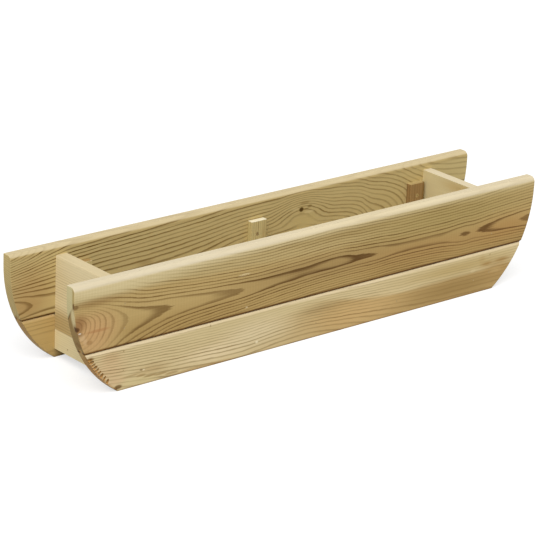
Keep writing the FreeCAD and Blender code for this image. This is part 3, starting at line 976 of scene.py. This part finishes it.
# %% Front lower board
FRONT_LOWER_LOG = {
    "pith_height": level(-18),
    "pith_depth": [
        (-500, 54), (-430, 60), (-350, 65), (-245, 69), (-165, 70.5), (-60, 67.5), (0, 68), (60, 71),
        (165, 76), (300, 79), (500, 80),
    ],
    "wander": 3.4,
    "line": [
        (-500, 0.65), (-420, 0.75), (-250, 0.85), (-100, 0.7), (100, 0.65), (180, 0.4), (500, 0.35),
    ],
    "ground": (222, 202, 154),
    "end": (188, 142, 70),
    "outer_end": (166, 120, 54),
    "end_marks": [{"at": (13, 68), "reach": (12, 16), "tone": (194, 168, 114), "share": 0.75}],
    "top": (230, 211, 172),
    "bands": [
        {
            "line": [
                (-500, 64), (-50, 61), (0, 63), (50, 56), (100, 46), (165, 40), (250, 38), (375, 40),
                (500, 40),
            ],
            "side": -1,
            "soft": 5,
            "streaks": 5,
            "share": [(-500, 0.0), (-220, 0.0), (-100, 0.25), (0, 0.65), (60, 0.85), (500, 0.9)],
            "tone": (194, 162, 105),
        # pale band on the top bevel: partly bleached wood, partly a painted highlight
        },
        {
            "line": level(69.5),
            "side": 1,
            "soft": 1.6,
            "streaks": 0,
            "share": [(-500, 0.9), (100, 0.8), (250, 0.4), (500, 0.4)],
            "tone": (240, 221, 182),
        },
    ],
    "zones": [
        {"at": (-425, 60), "reach": (28, 16), "tone": (192, 160, 112), "share": 0.6},
        {"at": (-430, 40), "reach": (52, 44), "tone": (224, 193, 147), "share": 0.7},
        {"at": (-345, 22), "reach": (52, 15), "tone": (194, 166, 116), "share": 0.6},
        {"at": (-215, 22), "reach": (100, 24), "tone": (242, 222, 180), "share": 0.75},
        {"at": (5, 50), "reach": (75, 11), "tone": (172, 144, 94), "share": 0.6},
        {"at": (-416, 17), "reach": (28, 10), "tone": (222, 190, 146), "share": 0.7, "calm": 0.8},
        {"at": (-160, 62), "reach": (320, 24), "tone": (218, 199, 150), "share": 0.8, "calm": 0.85},
        {"at": (-130, 36), "reach": (110, 40), "tone": (232, 214, 172), "share": 0.8},
        {"at": (-365, 9), "reach": (60, 12), "tone": (222, 204, 152), "share": 0.8, "calm": 0.8},
        {"at": (330, 56), "reach": (210, 18), "tone": (198, 173, 115), "share": 0.8},
        {"at": (320, 20), "reach": (190, 30), "tone": (164, 134, 80), "share": 0.8},
        {"at": (90, 24), "reach": (150, 34), "tone": (222, 187, 128), "share": 0.65},
        {"at": (425, 36), "reach": (66, 30), "tone": (182, 148, 92), "share": 0.7},
        {"at": (395, 50), "reach": (20, 6), "tone": (172, 134, 74), "share": 0.7},
        {"at": (432, 51), "reach": (26, 5), "tone": (168, 130, 70), "share": 0.7},
        {"at": (383, 58), "reach": (12, 18), "tone": (190, 158, 100), "share": 0.35},
        {"at": (425, 62), "reach": (34, 6), "tone": (216, 194, 142), "share": 0.7},
        {"at": (418, 34), "reach": (24, 7), "tone": (206, 176, 120), "share": 0.6},
    ],
    "marks": [
        # painted shade in the joint at the top of the lower board
        {"at": (0, 75.8), "reach": (3000, 1.9), "tone": (116, 80, 34), "share": 0.92},
        # painted shade in the top scoop at the left end
        {"at": (-467, 66), "reach": (10, 4.5), "tone": (124, 90, 42), "share": 0.75},
        {"at": (-411, 7), "reach": (10, 5), "tone": (112, 80, 36), "share": 0.85},
        {"at": (-417, 4), "reach": (6, 4), "tone": (96, 66, 30), "share": 0.8},
        {"at": (-388, 20.5), "reach": (24, 1.7), "tone": (158, 126, 74), "share": 0.5},
        {"at": (-366, 16.5), "reach": (13, 2.6), "tone": (154, 122, 70), "share": 0.55},
        {"at": (-348, 12), "reach": (18, 2.2), "tone": (146, 114, 62), "share": 0.65},
        {"at": (-326, 10.2), "reach": (18, 2.4), "tone": (150, 118, 66), "share": 0.6},
        {"at": (-304, 6.5), "reach": (18, 3), "tone": (156, 122, 70), "share": 0.55},
        {"at": (-240, 2.5), "reach": (80, 4.5), "tone": (172, 136, 80), "share": 0.5},
        {"at": (-366, 26), "reach": (4, 1.4), "tone": (110, 86, 50), "share": 0.85},
        {"at": (-361, 25), "reach": (3, 1.6), "tone": (234, 220, 182), "share": 0.8},
        {"at": (-227, 70), "reach": (2, 2.5), "tone": (150, 126, 84), "share": 0.6},
        {"at": (-128, 20), "reach": (4, 3), "tone": (240, 226, 190), "share": 0.8},
        {"at": (362, 43), "reach": (9, 4), "tone": (214, 194, 146), "share": 0.6},
    ],
    "torn": True,
    "edge_shade": FOOT_SHADE,
}
print("front lower board:", len(FRONT_LOWER_LOG["zones"]), "zones of tone")

# %% [markdown]
# ## The back panel
# Its rings are wide. They rise slowly towards a knot near the middle, and past the knot they close in
# arches, because the pith comes close to the face there and then leaves it.

# %% Back boards
BACK_UPPER_LOG = {
    "pith_height": level(100),
    "pith_depth": [
        (-500, 32), (-490, 33), (-480, 34.2), (-470, 35.6), (-455, 37.8), (-412, 40), (-300, 39),
        (-200, 37), (-110, 32), (-50, 23), (0, 15), (60, 8), (110, 6), (150, 12), (200, 21), (240, 33),
        (270, 48), (300, 55), (330, 65), (380, 85), (420, 95), (500, 100),
    ],
    "spread": [(-500, 0.70), (-490, 0.72), (-412, 0.93), (-370, 1.0), (500, 1.0)],
    "ring": 5.4,
    "wander": 3.4,
    "line": [(-500, 1.0), (-250, 1.0), (-100, 0.85), (100, 0.75), (250, 0.62), (500, 0.55)],
    "ground": (206, 186, 130),
    "top": (204, 187, 148),
    "bleach_and_light": (0.42, 0.7),
    "end": (200, 178, 122),
    "outer_end": (196, 174, 118),
    "bands": [
        {
            "line": level(182),
            "side": 1,
            "soft": 3,
            "streaks": 1,
            "share": level(0.8),
            "tone": (178, 156, 104),
        }
    ],
    "zones": [
        {"at": (116, 130), "reach": (46, 24), "tone": (208, 188, 128), "share": 0.9, "calm": 1.0},
        {"at": (-230, 126), "reach": (26, 8), "tone": (160, 132, 80), "share": 0.5},
        {"at": (-465, 116), "reach": (80, 90), "tone": (190, 158, 104), "share": 0.8},
        {"at": (-475, 98), "reach": (48, 26), "tone": (186, 152, 98), "share": 0.6, "calm": 0.6},
    ],
    "knots": [
        {
            "at": (106, 155),
            "reach": (4.6, 4.0),
            "pulls": (80, 40),
            "pull": 3.2,
            "deep": 30.0,
            "halo": (190, 166, 108),
            "rim": (96, 74, 30),
            "core": (82, 60, 24),
        }
    ],
    "marks": [
        {"at": (125, 158), "reach": (7, 3.5), "tone": (128, 102, 54), "share": 0.6},
        {"at": (116, 154.5), "reach": (9, 1.6), "tone": (118, 92, 46), "share": 0.6},
        {"at": (124, 148), "reach": (14, 3), "tone": (216, 197, 144), "share": 0.6},
        {"at": (92, 158), "reach": (11, 3), "tone": (212, 193, 140), "share": 0.5},
        {"at": (113, 166), "reach": (14, 4), "tone": (146, 120, 70), "share": 0.5},
    ],
    "edge_shade": JOINT_SHADE,
}
BACK_LOWER_LOG = {
    "pith_height": level(30),
    "ring": 3.0,
    "ground": (200, 170, 110),
    "top": (208, 178, 126),
    "end": (186, 150, 92),
    "outer_end": (182, 146, 86),
    "edge_shade": FOOT_SHADE,
}
print("back logs:", len(BACK_UPPER_LOG["pith_depth"]), "points of pith")

# %% [markdown]
# ## End walls, floor and battens
# These boards are plain and pale. Each needs only a few changes to the plain log. The battens are
# offcuts of other logs, so they have tones of their own.

# %% Other boards
WALL_UPPER_LOG = {
    "pith_height": level(-60),
    "ring": 4.2,
    "wander": 3.4,
    "line": level(0.42),
    "zones": [{"at": (0, 168), "reach": (150, 34), "tone": (238, 222, 180), "share": 0.8, "calm": 0.9}],
    "ground": (232, 215, 170),
    "top": (208, 191, 152),
    "bands": [
        {
            "line": [(-80, 86), (80, 82)],
            "side": -1,
            "soft": 16,
            "streaks": 3,
            "share": level(0.9),
            "tone": (196, 168, 112),
        }
    ],
}
WALL_LOWER_LOG = {
    "pith_height": level(-60),
    "line": level(0.15),
    "ground": (238, 221, 173),
}
RIGHT_WALL_LOG = {
    **WALL_UPPER_LOG,
    "line": level(0.0),
    "ground": (226, 211, 163),
    "top": (214, 200, 168),
    "bands": [],
    "zones": [{"at": (-30, 166), "reach": (80, 18), "tone": (208, 182, 124), "share": 0.8}],
}
FLOOR_LOG = {"pith_height": level(30), "ground": (190, 162, 110)}
PALE_BATTEN_LOG = {
    "pith_height": level(-60),
    "line": level(0.35),
    "ground": (212, 195, 138),
    "top": (234, 225, 196),
    "end": (234, 225, 196),
    "outer_end": (238, 230, 204),
    "zones": [{"at": (110, 14), "reach": (70, 8), "tone": (186, 160, 104), "share": 0.6}],
    "marks": [{"at": (148, 1.5), "reach": (14, 0.9), "tone": (150, 120, 70), "share": 0.8}],
}
BROWN_BATTEN_LOG = {
    "pith_height": level(300),
    "ring": 4.4,
    "line": level(0.4),
    "ground": (162, 131, 85),
    "top": (180, 158, 108),
    "end": (180, 158, 108),
    "outer_end": (174, 150, 100),
    # a darker strip along the right edge of the back right batten
    "marks": [{"at": (110, 384), "reach": (90, 3), "tone": (122, 96, 48), "share": 0.8}],
}
print("plain logs are ready")

# %% A log for each board
LOGS = {
    "front_upper_board": (SIDE_AXES, FRONT_UPPER_LOG),
    "front_lower_board": (SIDE_AXES, FRONT_LOWER_LOG),
    "back_upper_board": (SIDE_AXES, BACK_UPPER_LOG),
    "back_lower_board": (SIDE_AXES, BACK_LOWER_LOG),
    "left_wall_upper_board": (LEFT_WALL_AXES, WALL_UPPER_LOG),
    "left_wall_lower_board": (LEFT_WALL_AXES, WALL_LOWER_LOG),
    "right_wall_upper_board": (RIGHT_WALL_AXES, RIGHT_WALL_LOG),
    "right_wall_lower_board": (RIGHT_WALL_AXES, WALL_LOWER_LOG),
    "front_floor_board": (FLOOR_AXES, FLOOR_LOG),
    "back_floor_board": (FLOOR_AXES, FLOOR_LOG),
    "front_left_batten": (FRONT_BATTEN_AXES, BROWN_BATTEN_LOG),
    "front_middle_batten": (FRONT_BATTEN_AXES, PALE_BATTEN_LOG),
    "front_right_batten": (FRONT_BATTEN_AXES, PALE_BATTEN_LOG),
    "back_left_batten": (BACK_BATTEN_AXES, PALE_BATTEN_LOG),
    "back_middle_batten": (BACK_BATTEN_AXES, PALE_BATTEN_LOG),
    "back_right_batten": (BACK_BATTEN_AXES, BROWN_BATTEN_LOG),
}
for node, (axes, log) in LOGS.items():
    set_material(boards[node], pine(node, axes, {**PLAIN_LOG, **log}))
print("pine boards painted:", len(LOGS))

# %% [markdown]
# ## Screws and nails
# The fasteners keep their solids. The screws have yellow zinc, and the nails dull galvanised steel that
# has taken on the colour of the wood. One colour would look like paint, so noise mixes a bright and a
# dull tone, and the dull spots are rougher.

# %% Metal
STAIN_SCALE = 900.0
STAIN_DETAIL = 3.0
STAIN_RANGE = (0.3, 0.7)
STAIN_ROUGHNESS = 0.2
METALS = {
    "screw_zinc": {"bright": (222, 202, 150), "dull": (180, 158, 108), "rough": 0.4, "metallic": 0.6},
    "nail_steel": {"bright": (184, 158, 110), "dull": (168, 142, 94), "rough": 0.6, "metallic": 0.1},
}


def plated_steel(name, metal):
    material, start = new_material(name)
    place = start.node("ShaderNodeTexCoord", None, None, "Object")
    noise = {"Vector": place, "Scale": STAIN_SCALE, "Detail": STAIN_DETAIL}
    stain = start.node("ShaderNodeTexNoise", None, noise)
    colour = stain.rise(*STAIN_RANGE).blend(tint(*metal["bright"]), tint(*metal["dull"]))
    rough = metal["rough"] + stain * STAIN_ROUGHNESS
    sockets = {"Base Color": colour, "Roughness": rough, "Metallic": metal["metallic"]}
    finish_surface(start, start.node("ShaderNodeBsdfPrincipled", None, sockets))
    return material


steels = {slot: plated_steel(slot, metal) for slot, metal in METALS.items()}
for node, slot in slots.items():
    if slot in steels:
        set_material(frame["nodes"][node], steels[slot])
print("metals:", list(steels))
